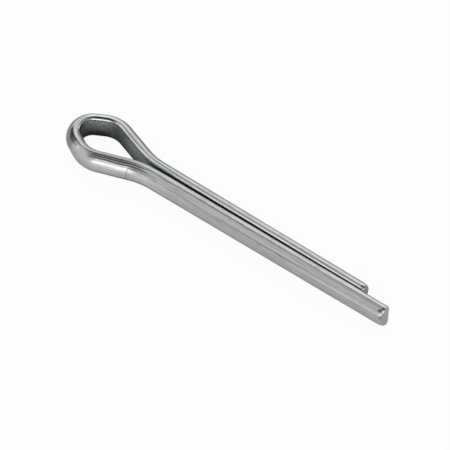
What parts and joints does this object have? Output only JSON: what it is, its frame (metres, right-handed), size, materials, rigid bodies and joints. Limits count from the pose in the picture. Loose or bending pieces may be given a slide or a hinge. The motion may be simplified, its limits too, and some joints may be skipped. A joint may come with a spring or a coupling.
{
  "type": "cotter pin",
  "caption": "Split cotter pin of half-round wire bent double into a teardrop eye and close legs of unequal length, for locking a clevis pin or castle nut.",
  "frame": {"origin": "on the pin's axis at its seat, where the straight legs leave the eye", "axes": "+X along the legs towards their ends, +Z square to the flat of the eye, the long leg on the -Y side"},
  "size_m": [0.0593, 0.0098, 0.0042],
  "materials": {
    "zinc_plated_steel": "satin zinc plating over drawn wire, with fine streaks along the wire"
  },
  "bodies": {
    "root": {"cotter_pin": "zinc_plated_steel"}
  },
  "joints": []
}
